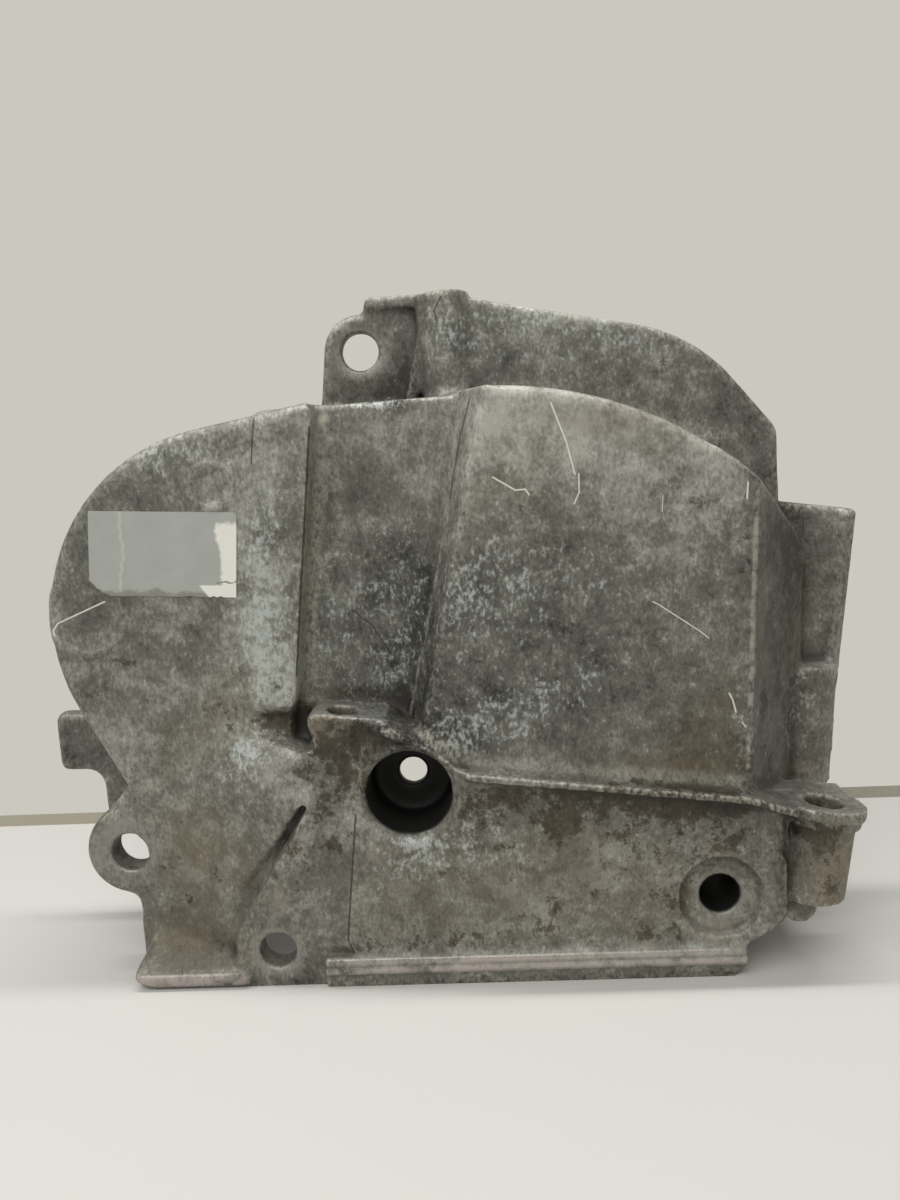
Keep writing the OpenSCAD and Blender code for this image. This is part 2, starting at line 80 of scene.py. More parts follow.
# How far the die rounded each form, as a share of a fillet of about 3 mm, and the limits where it holds.
# Later rows go over earlier ones.
PLAIN_ROUNDING = 0.26
DIE_ROUNDING = (
    ("lobe's rim", 0.60, {"off_rim": (-5, 5), "depth": (25, FAR), "x": (-FAR, -30), "z": (46, FAR)}),
    ("bulge's crown", 0.70, {"x": (8, 60), "z": (112, FAR), "depth": (12, FAR)}),
    ("bulge's right edge", 0.13, {"x": (60, FAR), "over_ledge": (3, FAR), "depth": (14, FAR)}),
    ("gusset", 0.60, {"x": (-FAR, -40), "z": (12, 62), "depth": (22, FAR)}),
    ("gusset's foot", 0.90, {"x": (-56, -46), "z": (-FAR, 13)}),
    ("ledge's front", 0.05, {"depth": (36.3, FAR), "x": (-34, FAR), "over_ledge": (-FAR, 4)}),
    ("fillet over the ledge", 0.90, {"depth": (35.2, 38.0), "x": (6, 68), "over_ledge": (-1, 4)}),
    ("strip's edge", 0.08, {"depth": (30.5, FAR), "off_strip": (-2, 2), "z": (60, FAR)}),
    ("flute beside the strip", 0.95, {"depth": (20, 28.5), "off_strip": (0, 5), "z": (62, 128)}),
    ("right lug", 0.01, {"x": (70, FAR), "z": (-FAR, 50)}),
    ("wing", 0.10, {"x": (90, FAR), "z": (60, FAR)}),
    ("column by the top ear", 0.12, {"x": (-8, 14), "z": (131, FAR)}),
    ("foot", 0.008, {"x": (-46, FAR), "z": (-FAR, 9)}),
    ("toe", 0.30, {"x": (-FAR, -46), "z": (-FAR, 9)}),
    ("sealing rim", 0.08, {"depth": (-FAR, 3)}),
    ("long bore's pad", 0.08, {"x": (62, 76), "z": (5, 34), "depth": (36.3, FAR)}),
)
HOLE_ROUNDING = 0.07
HOLE_MARGIN = 3.5
HOLE_END_MARGIN = 3.0
MARK_ROUNDING = 0.12
MARK_MARGIN = 2.0

# Ejector pins' marks on the lobe: centre, radius, the raised rim's height, and where it is highest
EJECTOR_MARKS = (
    ((-48.0, 114.5), 4.1, 0.35, None),
    ((-78.8, 86.8), 7.8, 0.45, math.radians(-65)),
)
RIM_WIDTH = 1.5
RIM_DEPTH = 0.8

# Rubbed edges, which also carry a painted highlight, and dirty creases, which also carry painted shade, are
# found by how far a point lies off the mean of its surroundings
SPREAD = 0.8
NEAR_PASSES = 6
WIDE_PASSES = 40
DIRT_PASSES = 4
EDGE_DEPTH = 0.30
CREASE_DEPTH = 0.22
HOLLOW_DEPTH = 0.88
FACING_OUT = -0.6

# Wells and bores painted dark inside as shade: centre, radius, and how dark. The painted shade starts behind
# the body's front.
SHADED_BORES = (((-8.0, 45.0), 12.0, 1.0), ((60.7, 18.8), 6.2, 1.0), ((-40.0, 8.4), 5.6, 0.35))
BORE_SHADE_LEVEL = 36.4
BORE_SHADE_FADE = 1.2

# Turned seats round the bolt holes: centre, radius and depth. The left lug's land lies level.
TURNED_SEATS = (
    ((-17.0, 144.5), 7.4, 4.5),
    ((-75.5, 29.5), 9.6, 28.0),
    ((-40.0, 8.4), 6.6, 37.0),
    ((60.7, 18.8), 6.4, 36.3),
)
SEAT_REACH = 1.2
LUG_LAND = (-22.3, 61.2)
LUG_LAND_REACH = (10.0, 4.0)
FACING_UP = 0.7

# Depths from which the foot is rubbed bright and given a painted highlight: on the toe, which ends here, and
# on the bead's ridges
TOE_END = -46.0
TOE_CREST = 37.6
BEAD_CREST = 38.45
CREST_FADE = 0.4
FOOT_TOP = 9.0
FOOT_FADE = 2.0

# Soft patches of ageing, and some of painted shade and light as noted in the tables: across, up, half-width,
# half-height, amount.
# Tones are paler above 0 and darker below.
TONES = (
    (-58, 122, 14, 4, 0.35), (-72, 104, 8, 12, -0.15), (-31, 122, 5, 14, 0.10), (-39, 95, 5, 18, 0.35),
    (-38, 74, 6, 14, 0.45), (-32, 96, 3, 12, -0.35), (-12, 116, 10, 10, 0.25), (-15, 82, 12, 18, -0.55),
    # On the next line, (-4, 84) darkens the step wall left of the bulge: grime and painted shade.
    (-20, 64, 12, 4, -0.70), (-11, 64, 5, 4, -0.70), (-4, 84, 4, 26, -0.60), (14, 124, 10, 8, 0.55),
    (36, 120, 20, 9, 0.55), (56, 112, 10, 9, 0.50), (24, 96, 24, 14, -0.35), (58, 91, 10, 7, -0.45),
    (8, 70, 12, 16, -0.60), (34, 66, 22, 12, -0.20), (58, 66, 8, 10, 0.28), (60, 50, 18, 3, -0.50),
    # On the next line, (79, 75) darkens the bulge's right side and the wing: grime and painted shade.
    (79, 75, 9, 36, -0.92), (28, 148, 18, 7, 0.30), (4, 148, 5, 8, -0.20), (-20, 146, 7, 7, -0.25),
    (58, 138, 12, 8, -0.05), (72, 126, 8, 10, -0.10), (86, 100, 7, 20, -0.50), (88, 64, 6, 14, -0.10),
    (-14, 134, 12, 5, -0.90), (-6, 140, 3, 9, -0.80), (-46, 53, 7, 5, -0.05), (-62, 34, 10, 10, 0.05),
    (-66, 40, 6, 8, -0.10), (-98, 50, 8, 9, -0.85), (-47, 28, 4, 14, -0.35), (-18, 57, 16, 4, -0.55),
    # On the next line, (40, 42) is painted shadow under the ledge.
    (40, 42, 40, 3, -0.35), (68, 34, 8, 5, -0.30), (20, 30, 26, 8, 0.15), (56, 30, 10, 6, 0.10),
    # On the next two lines, (52.4, 17.5) and (75, 24) are painted shadow in the long bore's seat and along
    # its right, by the right lug's column, and (70, 20) is a painted highlight on the seat's right rim. The
    # rows at up 1 darken the foot's lowest 2 mm.
    (-60, 14, 12, 6, -0.15), (-60, 7, 14, 5, -0.68), (52.4, 17.5, 1.7, 6, -0.9), (70, 20, 1.6, 6, 0.35),
    (75, 24, 2.2, 14, -0.6), (18, 1, 50, 1.6, -0.6), (-58, 1, 16, 1.6, -0.7),
)
PALE_OXIDE = (
    (-31, 122, 6, 12, 0.20), (-38, 106, 4, 7, 0.35), (-38, 96, 5, 8, 0.35), (-39, 86, 5, 9, 0.45),
    (-38, 75, 6, 9, 0.45), (-38, 67, 7, 5, 0.35), (-30, 86, 3, 12, 0.15), (-15, 76, 11, 12, 0.60),
    (-10, 94, 8, 10, 0.40), (-22, 94, 6, 16, 0.30), (-12, 131, 12, 2, 0.60), (4, 58, 9, 6, 0.60),
    (20, 84, 14, 10, 0.40), (8, 88, 6, 10, 0.45), (28, 108, 10, 8, 0.35), (16, 124, 6, 10, 0.25),
    (48, 108, 14, 10, 0.35), (-45, 54, 7, 6, 0.55), (-56, 122, 12, 3, 0.60), (20, 147, 14, 6, 0.50),
    (44, 142, 14, 7, 0.45), (-5, 33, 9, 3, 0.65), (4, 148, 5, 7, 0.32), (4, 30, 2.5, 10, 0.40),
    (66, 54, 6, 6, 0.35), (-78, 44, 5, 4, 0.32), (84, 56, 6, 10, 0.40),
)
BROWN_FILM = (
    (-58, 66, 18, 14, 0.70), (-58, 30, 14, 14, 0.80), (20, 20, 46, 18, 0.85), (-62, 8, 14, 8, 0.70),
    (-12, 118, 9, 10, 0.60), (55, 50, 20, 4, 0.80), (12, 107, 6, 6, 0.60), (86, 24, 8, 14, 0.80),
    (32, 122, 24, 9, 0.75), (-26, 62, 8, 6, 0.70), (-18, 140, 8, 8, 0.50), (86, 76, 10, 30, 0.40),
)
DARK_SPECKS = (
    (20, 24, 50, 16, 0.60), (60, 28, 14, 12, 0.70), (-32, 26, 8, 14, 0.85), (60, 88, 12, 10, 0.55),
    (52, 70, 16, 10, 0.30), (70, 124, 12, 10, 0.55), (20, 142, 20, 8, 0.35), (-60, 66, 24, 16, 0.30),
    (-64, 40, 10, 10, 0.30), (84, 60, 6, 16, 0.60),
)
BARE_METAL = (
    (29, 36, 9, 5, 0.85), (19, 28, 10, 9, 0.65), (46, 34, 6, 5, 0.65), (14, 19, 18, 9, 0.75),
    (38, 25, 10, 8, 0.75), (-15, 22, 5, 11, 0.95), (-32, 23, 6, 10, 0.90), (56, 62, 9, 8, 0.85),
    (63, 80, 4, 12, 0.70), (54, 73, 8, 7, 0.55), (-80, 31, 9, 9, 0.60), (86, 28, 8, 12, 0.60),
    (56, 10, 10, 4, 0.60), (-40, 8, 10, 8, 0.70), (60, 30, 6, 3, 0.50),
)
STAINS_AND_PAINTED_SHADE = (
    # On the next line, (36, 44) and (56, 39) are painted shadow under the ledge.
    (36, 44, 36, 3, 0.95), (56, 39, 12, 4, 0.85), (41, 36, 3, 5, 0.75), (61, 34, 6, 5, 0.75),
    (9, 37, 6, 6, 0.75), (0, 15, 4, 12, 0.80), (4, 8, 8, 3, 0.85), (-18, 10, 8, 2.5, 0.60),
    (45, 19, 7, 4, 0.70), (34, 14, 9, 3, 0.65), (42, 9, 12, 2.5, 0.70), (-27, 38, 5, 5, 0.65),
    # On the next line, (-37, 61) is painted shadow under the strip's overhanging end.
    (-24, 50, 8, 8, 0.65), (-20, 58, 14, 4, 0.85), (-37, 61, 7, 3, 0.90), (80, 34, 6, 5, 0.70),
    # On the next line, (-36, 34), (-40, 28) and (-44, 22) darken the groove's left flank: stain and painted
    # shade.
    (-60, 18, 10, 12, 0.40), (-36, 34, 2.5, 3, 0.60), (-40, 28, 2.5, 3, 0.60), (-44, 22, 2.5, 3, 0.60),
    (-72, 72, 12, 10, 0.35), (-52, 66, 14, 10, 0.22), (60, 91, 7, 6, 0.60), (68, 122, 10, 8, 0.50),
    # On the next line, the row at up 1 darkens the foot's lowest 2 mm.
    (84, 24, 4, 8, 0.45), (20, 1, 50, 1.4, 0.60),
)

# Bright scratches: width, and points of (across, up)
BRIGHT_SCRATCHES = (
    (0.34, ((25.8, 128.5), (26.6, 126.2), (28.7, 120.6), (30.4, 113.7))),
    (0.32, ((31.2, 113.7), (31.2, 109.9), (30.1, 107.5))),
    (0.36, ((13.2, 113.8), (17.8, 110.9), (19.9, 111.0), (20.7, 109.8))),
    (0.26, ((46.4, 85.9), (47.4, 85.4), (56.4, 79.1), (58.3, 77.5))),
    (0.36, ((-74.2, 90.0), (-85.3, 85.5), (-86.4, 83.9), (-86.1, 82.8))),
    (0.38, ((62.6, 65.2), (63.4, 63.6), (64.1, 60.9))),
    (0.26, ((65.4, 58.6), (66.3, 57.4))),
    (0.40, ((66.4, 110.5), (66.2, 107.1))),
    (0.18, ((48.7, 108.5), (48.5, 105.0))),
)

# Dark cracks and die lines
DARK_LINES = (
    (0.40, ((3.4, 155.0), (1.6, 152.0), (2.0, 150.2))),
    (0.50, ((-25.5, 126.0), (-27.9, 106.3), (-30.1, 88.8), (-32.1, 72.0))),
    (0.50, ((-20.0, 41.0), (-22.4, 21.0), (-23.6, 11.0), (-22.2, 8.0))),
    (0.40, ((-37.4, 128.6), (-38.6, 119.0))),
    (0.45, ((9.0, 130.5), (6.6, 122.6), (5.5, 117.7), (3.8, 109.5))),
    (0.34, ((-19.8, 85.0), (-15.4, 81.3), (-11.2, 74.1))),
)

# Pale seam at the foot of the bulge's left side, and the bulge's right edge, rubbed bright with a painted
# highlight along it
PALE_SEAM_AND_EDGE_HIGHLIGHT = (
    (0.7, ((3.5, 108.2), (0.9, 95.8), (-1.3, 86.8), (-4.7, 73.1), (-7.4, 60.8))),
    (1.1, ((68.4, 108.0), (67.6, 78.0), (66.9, 47.0))),
)

# Pale bands with their depth, half-width, strength and points: painted light on the flute beside the strip
# and on the fillet over the ledge, where these faces catch the light, and pale bloom along the gusset's
# ridge
PALE_BANDS = (
    (28, 2.6, 1.0, ((-24.0, 128.0), (-31.6, 66.0))),
    (31, 2.4, 0.42, ((-70.2, 46.2), (-54.6, 54.5), (-45.5, 58.7))),
    (37, 1.9, 0.75, ((-11.0, 63.6), (3.0, 53.0))),
    (37, 1.9, 0.50, ((3.0, 53.0), (66.0, 45.2))),
)
BAND_REACH = 4.0

# Noise in the casting's skin: size in millimetres, detail and roughness. Some of it is drawn out upwards.
SKIN_NOISE = {
    "grain": (0.9, 3, 0.7), "pepper": (0.6, 2, 0.6), "fleck": (1.4, 4, 0.7), "clump": (3.0, 5, 0.7),
    "mottle": (7.0, 4, 0.6), "cloud": (22.0, 4, 0.6), "isle": (9.0, 8, 0.68), "film": (6.5, 8, 0.78),
}
DRAWN_OUT = ("grain", "pepper")
DRAW = (1, 1, 0.62)

# Label film
LABEL_CORNER = (-75.6, 110.3)
LABEL_TURN = math.radians(-3.0)
LABEL_SHEAR = 0.03
LABEL_SIZE = (32.8, 18.8)
LABEL_ROUND = 1.0
LABEL_STEP = 0.32
LABEL_THICKNESS = 0.18
LABEL_LIFT = 0.02
TEAR_ALONG = (0, 1.2, 1.4, 2.4, 2.8, 4.6)
TEAR_HEIGHT = (3.4, 2.3, 1.7, 1.4, 0.8, 0)
RAGGED_EDGE = 0.22

# Wear of the film: its fold from the left, its worn end and white strip from the right,
# and the strip, the crack and the dirt from the lower edge
FOLD_AT = 7.4
FOLD_WIDTH = 0.45
FOLD_HEIGHT = 0.12
WORN_END = 6.2
WHITE_STRIP = (8.8, 2.9)
CRACK_UP = 3.3
CRACK_WIDTH = 0.2
CRACK_LENGTH = 5.0
DIRT_UP = 3.0

# Stage, lights and camera, in metres and watts. The eye's turn is its pitch, yaw and roll.
SHELF_END = 0.0835
SHELF_REACH = 2.0
LIP_HEIGHT = 0.004
ROOM_LIGHT = 0.34
EYE = (0.009, -0.2065, 0.118)
EYE_TURN = (8.9, 1.79, 2.6)
SENSOR = 36
PHOTO_HEIGHT = 1200
FOCAL_PIXELS = 900


def linear(colour):
    """An sRGB hex colour as linear red, green, blue and alpha."""
    parts = [int(colour[i:i + 2], 16) / 255 for i in (1, 3, 5)]
    return tuple(p / 12.92 if p <= 0.04045 else ((p + 0.055) / 1.055) ** 2.4 for p in parts) + (1.0,)


def add(tree, kind, inputs, out=0, stops=(), **settings):
    """Adds a node with settings, inputs' values or links and a ramp's stops; gives one of its outputs."""
    node = tree.nodes.new("ShaderNode" + kind)
    for name, value in settings.items():
        setattr(node, name, value)
    for key, value in inputs.items():
        if isinstance(value, bpy.types.NodeSocket):
            tree.links.new(value, node.inputs[key])
        else:
            node.inputs[key].default_value = value
    for i, (place, colour) in enumerate(stops):
        stop = node.color_ramp.elements[i] if i < 2 else node.color_ramp.elements.new(place)
        stop.position = place
        stop.color = linear(colour)
    return node.outputs[out] if len(node.outputs) else None


def new_material(name):
    """A new material, its node tree and its shader."""
    material = bpy.data.materials.new(name)
    material.use_nodes = True
    return material, material.node_tree, material.node_tree.nodes["Principled BSDF"]


def smooth(t):
    """Eases 0 to 1."""
    t = np.clip(t, 0.0, 1.0)
    return t * t * (3 - 2 * t)


def points_of(mesh):
    """A mesh's points, in millimetres."""
    co = np.empty(3 * len(mesh.vertices), np.float32)
    mesh.vertices.foreach_get("co", co)
    return co.reshape(-1, 3).astype(float) / MM


def normals_of(mesh):
    """The direction that each point of a mesh faces."""
    n = np.empty(3 * len(mesh.vertices), np.float32)
    mesh.vertex_normals.foreach_get("vector", n)
    return n.reshape(-1, 3).astype(float)


def set_points(mesh, points):
    """Moves a mesh's points to these places, in millimetres."""
    mesh.vertices.foreach_set("co", (points * MM).astype(np.float32).ravel())
    mesh.update()


def set_attribute(mesh, name, values):
    """Keeps a number for each point, which the material reads by its name."""
    layer = mesh.attributes.new(name, "FLOAT", "POINT")
    layer.data.foreach_set("value", np.asarray(values, np.float32))


def applied(piece):
    """Gives the piece the mesh that its modifiers make, and clears them."""
    made = bpy.data.meshes.new_from_object(piece.evaluated_get(bpy.context.evaluated_depsgraph_get()))
    piece.modifiers.clear()
    piece.data = made
    return made


class Neighbours:
    """Means over each point's neighbours on a mesh."""

    def __init__(self, mesh):
        ends = np.empty(2 * len(mesh.edges), np.int32)
        mesh.edges.foreach_get("vertices", ends)
        self.a, self.b = ends.reshape(-1, 2).T
        self.count = len(mesh.vertices)
        self.degree = np.maximum(np.bincount(ends, minlength=self.count), 1)

    def mean(self, values):
        """Mean of each point's neighbours."""
        if values.ndim == 2:
            return np.stack([self.mean(column) for column in values.T], 1)
        onto_a = np.bincount(self.a, values[self.b], self.count)
        onto_b = np.bincount(self.b, values[self.a], self.count)
        return (onto_a + onto_b) / self.degree

    def relaxed(self, values, weight, passes):
        """The values, drawn to their neighbours' means."""
        for _ in range(passes):
            values = values + weight * (self.mean(values) - values)
        return values


def patches(points, blobs):
    """How much of a kind of ageing, or of painted shade and light, each point has, from -1 to 1."""
    total = np.zeros(len(points))
    for x, z, half_w, half_h, amount in blobs:
        total += amount * np.exp(-((points[:, 0] - x) / half_w) ** 2 - ((points[:, 2] - z) / half_h) ** 2)
    return np.clip(total, -1, 1)


def reach(points, centre):
    """Distance across the front from a place."""
    return np.hypot(points[:, 0] - centre[0], points[:, 2] - centre[1])


def to_line(points, line):
    """Distance across the front from a line of points."""
    best = np.full(len(points), FAR)
    flat = points[:, [0, 2]]
    line = np.array(line, float)
    for start, end in zip(line[:-1], line[1:]):
        run = end - start
        step = np.clip((flat - start) @ run / (run @ run), 0, 1)
        best = np.minimum(best, np.linalg.norm(flat - start - np.outer(step, run), axis=1))
    return best


def softness(points):
    """How far the casting die rounded each point: 1 is a fillet of about 3 mm."""
    x, z = points[:, 0], points[:, 2]
    places = {
        "x": x,
        "z": z,
        "depth": SEALING_FACE - points[:, 1],
        "over_ledge": z - LEDGE_START[1] + LEAN * (x - LEDGE_START[0]),
        "off_strip": x - STRIP_TOP[0] - LEAN * (z - STRIP_TOP[1]),
        "off_rim": reach(points, LOBE_CENTRE) - LOBE_RADIUS,
    }
    soft = np.full(len(points), PLAIN_ROUNDING)
    for _, share, limits in DIE_ROUNDING:
        inside = np.ones(len(points), bool)
        for key, (low, high) in limits.items():
            inside &= (places[key] > low) & (places[key] < high)
        soft[inside] = share
    for mount in frame["record"]["mounts"]:
        radius = mount["dims"].get("r_mm")
        if radius:
            to = points - np.array(mount["pos_m"]) / MM
            along = to @ np.array(mount["axis"], float)
            away = np.linalg.norm(to - np.outer(along, mount["axis"]), axis=1)
            half = mount["dims"]["length_mm"] / 2
            soft[(away < radius + HOLE_MARGIN) & (np.abs(along) < half + HOLE_END_MARGIN)] = HOLE_ROUNDING
    for centre, radius, _, _ in EJECTOR_MARKS:
        on_face = places["depth"] > LOBE_FACE - MARK_MARGIN
        soft[(reach(points, centre) < radius + MARK_MARGIN) & on_face] = MARK_ROUNDING
    return soft


def raised_rims(points, normals):
    """Rims that the ejector pins pressed up round their marks, as a height at each point."""
    lift = np.zeros(len(points))
    on_face = (SEALING_FACE - points[:, 1] > LOBE_FACE - RIM_DEPTH) & (normals[:, 1] < FACING_OUT)
    for centre, radius, height, side in EJECTOR_MARKS:
        ring = smooth(1 - np.abs(reach(points, centre) - radius - RIM_WIDTH / 2) / RIM_WIDTH)
        if side is not None:
            turn = np.arctan2(points[:, 2] - centre[1], points[:, 0] - centre[0]) - side
            # A pin that stood askew raised one side only
            ring *= smooth(0.35 + np.cos(turn)) * 0.9
        lift += height * ring * on_face
    return lift


def mark_age_and_painted_light(mesh, points, ring):
    """Keeps each point's wear and dirt, and the painted shade and highlights, on the casting's mesh, for the
    material to read.
    """
    normals = normals_of(mesh)
    depth = SEALING_FACE - points[:, 1]
    # Ageing and the painted shade and light lie on what faces the front, and less on what faces sideways
    front = smooth(0.55 - 0.6 * normals[:, 1])
    set_attribute(mesh, "front", front)
    # The tones and stains carry the painted shade and light noted in their tables
    set_attribute(mesh, "tone", patches(points, TONES) * smooth((depth + 6) / 10))
    for name, blobs in (("oxide", PALE_OXIDE), ("brown", BROWN_FILM), ("speck", DARK_SPECKS),
                        ("bare", BARE_METAL), ("stain", STAINS_AND_PAINTED_SHADE)):
        set_attribute(mesh, name, patches(points, blobs) * front)

    bend, wide = (np.einsum("ij,ij->i", ring.relaxed(points, SPREAD, passes) - points, normals)
                  for passes in (NEAR_PASSES, WIDE_PASSES))
    # Creases and hollows get dirt and painted shade; raised edges get wear and a painted highlight
    crease = np.clip(bend / CREASE_DEPTH, 0, 1) * 0.6 + np.clip(wide / HOLLOW_DEPTH, 0, 1) * 0.6
    set_attribute(mesh, "edge", np.clip(-bend / EDGE_DEPTH, 0, 1))
    set_attribute(mesh, "crease", np.clip(ring.relaxed(crease, SPREAD, DIRT_PASSES), 0, 1))

    # Painted shade: the wells and bores are darkened inside
    bore_shade = np.zeros(len(points))
    for centre, radius, amount in SHADED_BORES:
        inside = amount * smooth(6 * (1 - reach(points, centre) / radius))
        bore_shade = np.maximum(bore_shade, inside * smooth((BORE_SHADE_LEVEL - depth) / BORE_SHADE_FADE))
    set_attribute(mesh, "bore_shade", bore_shade)

    turned = np.zeros(len(points))
    for centre, radius, seat in TURNED_SEATS:
        on_seat = (np.abs(depth - seat) < SEAT_REACH) & (normals[:, 1] < FACING_OUT)
        turned = np.maximum(turned, smooth(4 * (1 - reach(points, centre) / radius)) * on_seat)
    by_land = (np.abs(points[:, [0, 2]] - LUG_LAND) < LUG_LAND_REACH).all(axis=1)
    set_attribute(mesh, "turned", np.maximum(turned, by_land & (normals[:, 2] > FACING_UP)))

    # Pale bands: painted light on the flute and on the fillet over the ledge, pale bloom on the gusset's
    # ridge
    band = np.zeros(len(points))
    for at_depth, half, strength, line in PALE_BANDS:
        share = strength * smooth(1.4 * (1 - to_line(points, line) / half))
        band = np.maximum(band, share * (np.abs(depth - at_depth) < BAND_REACH))
    set_attribute(mesh, "band", band)

    # The toe and the bead's crests: worn bright metal with a painted highlight
    crest = np.where(points[:, 0] < TOE_END, TOE_CREST, BEAD_CREST)
    low = smooth((FOOT_TOP - points[:, 2]) / FOOT_FADE)
    set_attribute(mesh, "rubbed_and_highlight", smooth((depth - crest) / CREST_FADE) * low)


def make_casting():
    """The casting's skin: the CAD solid with its cast fillets, ejector rims and ageing, with painted shade
    and light.
    """
    piece = bpy.data.objects.new("cover_casting_skin", frame["nodes"]["cover_casting"].data.copy())
    bpy.context.collection.objects.link(piece)
    work = bmesh.new()
    work.from_mesh(piece.data)
    bmesh.ops.remove_doubles(work, verts=work.verts, dist=WELD)
    work.to_mesh(piece.data)
    work.free()
    voxels = piece.modifiers.new("voxels", "REMESH")
    voxels.mode = "VOXEL"
    voxels.voxel_size = VOXEL * MM
    mesh = applied(piece)

    ring = Neighbours(mesh)
    points = points_of(mesh)
    points = ring.relaxed(points, softness(points)[:, None], ROUNDING_PASSES)
    set_points(mesh, points)
    normals = normals_of(mesh)
    points += normals * raised_rims(points, normals)[:, None]
    set_points(mesh, points)
    mark_age_and_painted_light(mesh, points, ring)

    mesh.calc_loop_triangles()
    fewer = piece.modifiers.new("fewer", "DECIMATE")
    fewer.ratio = min(1.0, CASTING_TRIANGLES / len(mesh.loop_triangles))
    applied(piece)
    piece.data.polygons.foreach_set("use_smooth", np.ones(len(piece.data.polygons), bool))
    piece.data.materials.clear()
    piece.data.materials.append(cast_aluminium())
    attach(piece, "root")
    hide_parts("cover_casting")
    return piece


def cast_aluminium():
    """Aged pressure die-cast aluminium: a dull grey skin with pale oxide bloom, an oily brown film and
    grime.

    The bloom and the grime are grains under a millimetre, so the surface looks dusty and never mirrors.
    Raised edges are worn bright with a painted highlight on them, as are the foot's crests; the creases
    hold dirt and painted shade, and the wells and bores are painted dark inside as shade.
    """
    material, tree, shader = new_material("aged_cast_aluminium")
    place = add(tree, "TexCoord", {}, out="Object")
    flat = add(tree, "VectorMath", {0: place, 1: (1, 0, 1)}, operation="MULTIPLY")
    drawn = add(tree, "Mapping", {"Vector": place, "Scale": DRAW})
    grain, pepper, fleck, clump, mottle, cloud, isle, film = (
        add(tree, "TexNoise", {"Vector": drawn if name in DRAWN_OUT else place, "Scale": 1 / (size * MM),
                               "Detail": detail, "Roughness": rough})
        for name, (size, detail, rough) in SKIN_NOISE.items())
    age = {name: add(tree, "Attribute", {}, out="Fac", attribute_name=name)
           for name in ("tone", "edge", "crease", "oxide", "brown", "speck", "bare", "stain", "bore_shade",
                        "turned", "rubbed_and_highlight", "band", "front")}

    def sum_of(*terms):
        """Weighted sum of sockets."""
        total = None
        for weight, socket in terms:
            part = add(tree, "Math", {0: socket, 1: weight}, operation="MULTIPLY")
            total = part if total is None else add(tree, "Math", {0: total, 1: part}, operation="ADD")
        return total

    def between(socket, low, high, most=1.0):
        """Rises from nothing at one value to the most at another."""
        return add(tree, "MapRange", {0: socket, 1: low, 2: high, 3: 0.0, 4: most},
                   interpolation_type="SMOOTHSTEP")

    def where(mask, socket, low, high, most=1.0):
        """The same, within a mask."""
        return add(tree, "Math", {0: mask, 1: between(socket, low, high, most)}, operation="MULTIPLY")

    def over(share, below, colour, blend="MIX"):
        """A coat of a colour on what lies below."""
        top = colour if isinstance(colour, bpy.types.NodeSocket) else linear(colour)
        return add(tree, "Mix", {0: share, 6: below, 7: top}, out=2, data_type="RGBA", blend_type=blend)

    def beside(lines):
        """Distance across the front from the nearest of these lines, in half-widths of the line."""
        nearest = None
        for width, line in lines:
            for start, end in zip(line[:-1], line[1:]):
                origin = Vector((start[0], 0, start[1])) * MM
                run = Vector((end[0], 0, end[1])) * MM - origin
                to = add(tree, "VectorMath", {0: flat, 1: origin}, operation="SUBTRACT")
                along = add(tree, "VectorMath", {0: to, 1: run / run.length_squared}, out="Value",
                            operation="DOT_PRODUCT")
                along = add(tree, "Math", {0: along, 1: 0.0}, operation="ADD", use_clamp=True)
                foot = add(tree, "VectorMath", {0: run, "Scale": along}, operation="SCALE")
                away = add(tree, "VectorMath", {0: to, 1: foot}, out="Value", operation="DISTANCE")
                away = add(tree, "Math", {0: away, 1: 2 / (width * MM)}, operation="MULTIPLY")
                if nearest is not None:
                    away = add(tree, "Math", {0: nearest, 1: away}, operation="MINIMUM")
                nearest = away
        return sum_of((1.0, nearest), (0.8, pepper))

    # The skin itself, with bare metal showing through it
    tone = sum_of((0.5, age["tone"]), (0.9, cloud), (0.8, mottle), (0.9, clump), (0.6, grain), (0.6, pepper))
    skin = add(tree, "ValToRGB", {0: add(tree, "Math", {0: tone, 1: 1.35}, operation="SUBTRACT")},
               stops=((0.0, "#2f2e2a"), (0.5, "#6b6a62"), (1.0, "#aaaba2")))
    metal = add(tree, "ValToRGB", {0: sum_of((0.5, mottle), (0.5, grain))},
                stops=((0.35, "#767269"), (0.65, "#968f84")))
    skin = over(between(sum_of((1.0, isle), (0.36, age["bare"])), 0.65, 0.73, 0.70), skin, metal)

    # What lies on it: brown film, pale bloom, stains with some painted shade among them, specks, and the
    # dirt and painted shade in creases and hollows
    skin = over(between(age["brown"], 0.0, 1.0, 0.48), skin, "#776951")
    bloom = sum_of((0.6, grain), (0.4, clump), (0.28, age["oxide"]))
    skin = over(between(bloom, 0.59, 0.74, 0.75), skin, "#b2bab6")
    # Stains, with the painted shade from the rows so noted in their table
    stain = sum_of((1.0, film), (0.30, age["stain"]))
    skin = over(between(stain, 0.62, 0.68, 0.90), skin, "#9c907e", "MULTIPLY")
    skin = over(between(sum_of((1.0, fleck), (0.16, age["speck"])), 0.68, 0.77, 0.65), skin, "#393530")
    # Dirt and painted shade darken the creases and hollows
    skin = over(between(sum_of((1.0, age["crease"]), (0.5, mottle)), 0.50, 1.15, 0.75), skin, "#2b2822")

    # Where it is rubbed or turned bright, with painted highlight and painted light, and the bores painted
    # dark as shade
    # Raised edges: worn bright metal with a painted highlight on it
    skin = over(where(age["edge"], grain, 0.40, 0.60, 0.62), skin, "#b1ac9f")
    # Pale bands: painted light on the flute and over the ledge, and pale bloom on the gusset's ridge
    skin = over(where(age["band"], grain, 0.30, 0.62, 0.70), skin, "#a5a292")
    outside = between(age["front"], 0.70, 0.95)
